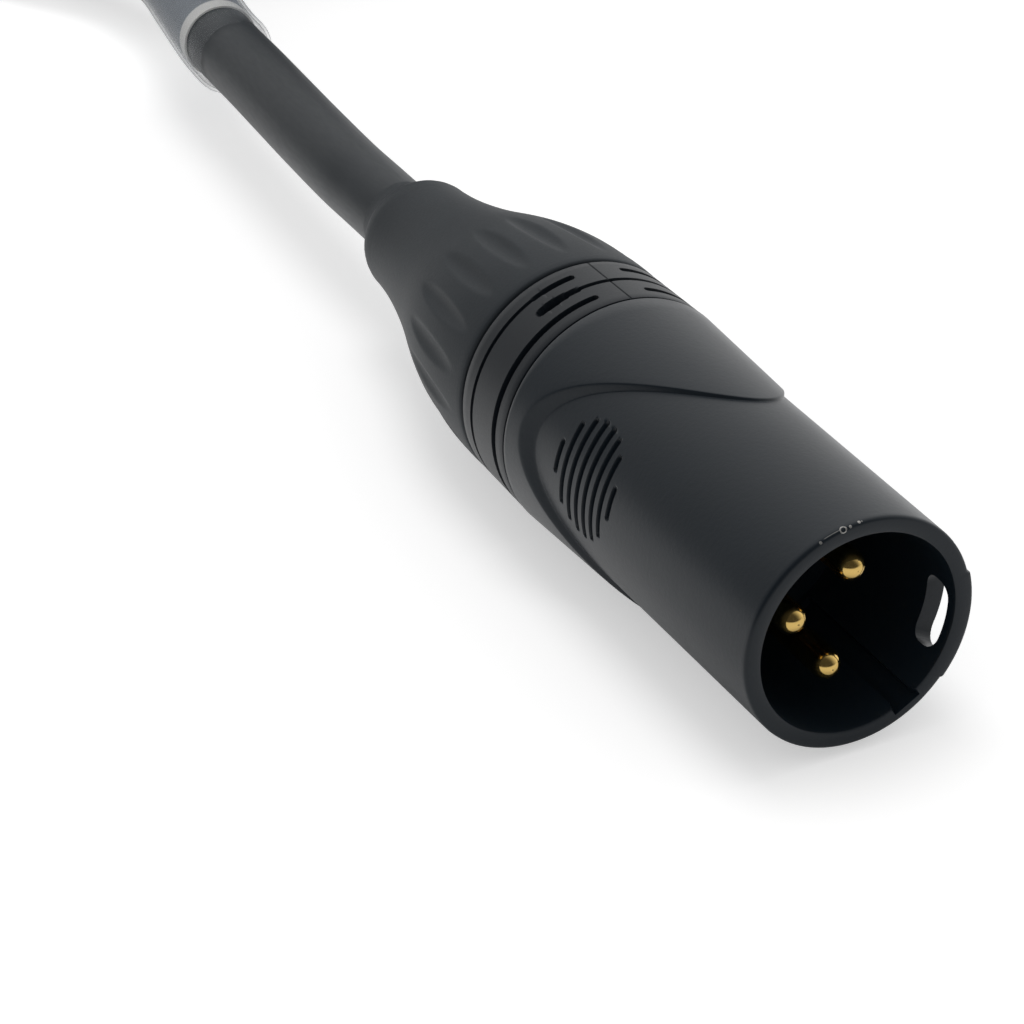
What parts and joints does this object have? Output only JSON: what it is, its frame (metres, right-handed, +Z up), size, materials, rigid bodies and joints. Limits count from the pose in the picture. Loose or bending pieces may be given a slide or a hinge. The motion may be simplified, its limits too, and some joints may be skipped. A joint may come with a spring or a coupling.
{
  "type": "xlr cable",
  "caption": "Three-pole XLR microphone lead: black metal male plug with keyed insert and screw boot, labelled cable folded in a tied hank, latching female plug.",
  "frame": {"origin": "on the surface the lead lies on, below the middle of the male plug", "axes": "+Y back along the male plug from its open end to its cable, +Z up, +X to the right seen from the cable side of the open end"},
  "size_m": [0.0742, 0.3005, 0.0496],
  "materials": {
    "black_lacquer": "satin black electroplate over zinc",
    "black_nylon": "fine matte",
    "gold_contact": "polished gold plate",
    "grey_nylon": "fine matte",
    "soft_boot": "fine matte",
    "cable_jacket": "matte",
    "label_paper": "printed film",
    "clear_sleeve": "clear heat-shrink",
    "strap_weave": "hook and loop tape",
    "wire_red": "smooth",
    "wire_white": "smooth",
    "wire_copper": "bare strands",
    "spring_steel": "bright"
  },
  "bodies": {
    "lead": {"male_shell": "black_lacquer", "male_insert": "black_nylon", "pin_1": "gold_contact", "pin_2": "gold_contact", "pin_3": "gold_contact", "male_wire_hot": "wire_red", "male_wire_cold": "wire_white", "male_wire_screen": "wire_copper", "male_split_ring": "black_nylon", "male_cable_end": "cable_jacket", "cable_lead": "cable_jacket", "label_print": "label_paper", "label_sleeve": "clear_sleeve", "cable_hank": "cable_jacket", "tie_strap": "strap_weave", "cable_tail": "cable_jacket", "female_cable_end": "cable_jacket", "female_shell": "black_lacquer", "female_insert": "black_nylon", "socket_1": "gold_contact", "socket_2": "gold_contact", "socket_3": "gold_contact", "female_wire_hot": "wire_red", "female_wire_cold": "wire_white", "female_wire_screen": "wire_copper", "female_latch_pin": "spring_steel", "female_latch_spring": "spring_steel", "female_split_ring": "black_nylon"},
    "male_clamp": {"male_chuck": "grey_nylon"},
    "male_screw_boot": {"male_gland_nut": "black_nylon", "male_boot": "soft_boot"},
    "female_clamp": {"female_chuck": "grey_nylon"},
    "female_screw_boot": {"female_gland_nut": "black_nylon", "female_boot": "soft_boot"},
    "latch": {"female_latch": "black_lacquer"}
  },
  "joints": [
    {"name": "male_clamp_slide", "type": "slide", "parent": "lead", "child": "male_clamp", "axis": [0, 1, 0], "range_m": [0, 0.004]},
    {"name": "male_boot_screw", "type": "hinge", "parent": "male_clamp", "child": "male_screw_boot", "pos_m": [0, 0.02, 0.0103], "axis": [0, 1, 0], "range_deg": [0, 1440]},
    {"name": "female_clamp_slide", "type": "slide", "parent": "lead", "child": "female_clamp", "axis": [0, -1, 0], "range_m": [0, 0.004]},
    {"name": "female_boot_screw", "type": "hinge", "parent": "female_clamp", "child": "female_screw_boot", "pos_m": [0.02, 0.1568, 0.038], "axis": [0, -1, 0], "range_deg": [0, 1440]},
    {"name": "latch_press", "type": "hinge", "parent": "lead", "child": "latch", "pos_m": [0.02, 0.1958, 0.046], "axis": [-1, 0, 0], "range_deg": [0, 4.5], "stiffness_Nm_per_rad": 0.03, "springref_deg": -22.92, "deforming": ["female_latch_spring"]}
  ],
  "couplings": [
    {"joint": "male_boot_screw", "follows": "male_clamp_slide", "rad_per_m": 6283.1},
    {"joint": "female_boot_screw", "follows": "female_clamp_slide", "rad_per_m": 6283.1}
  ]
}
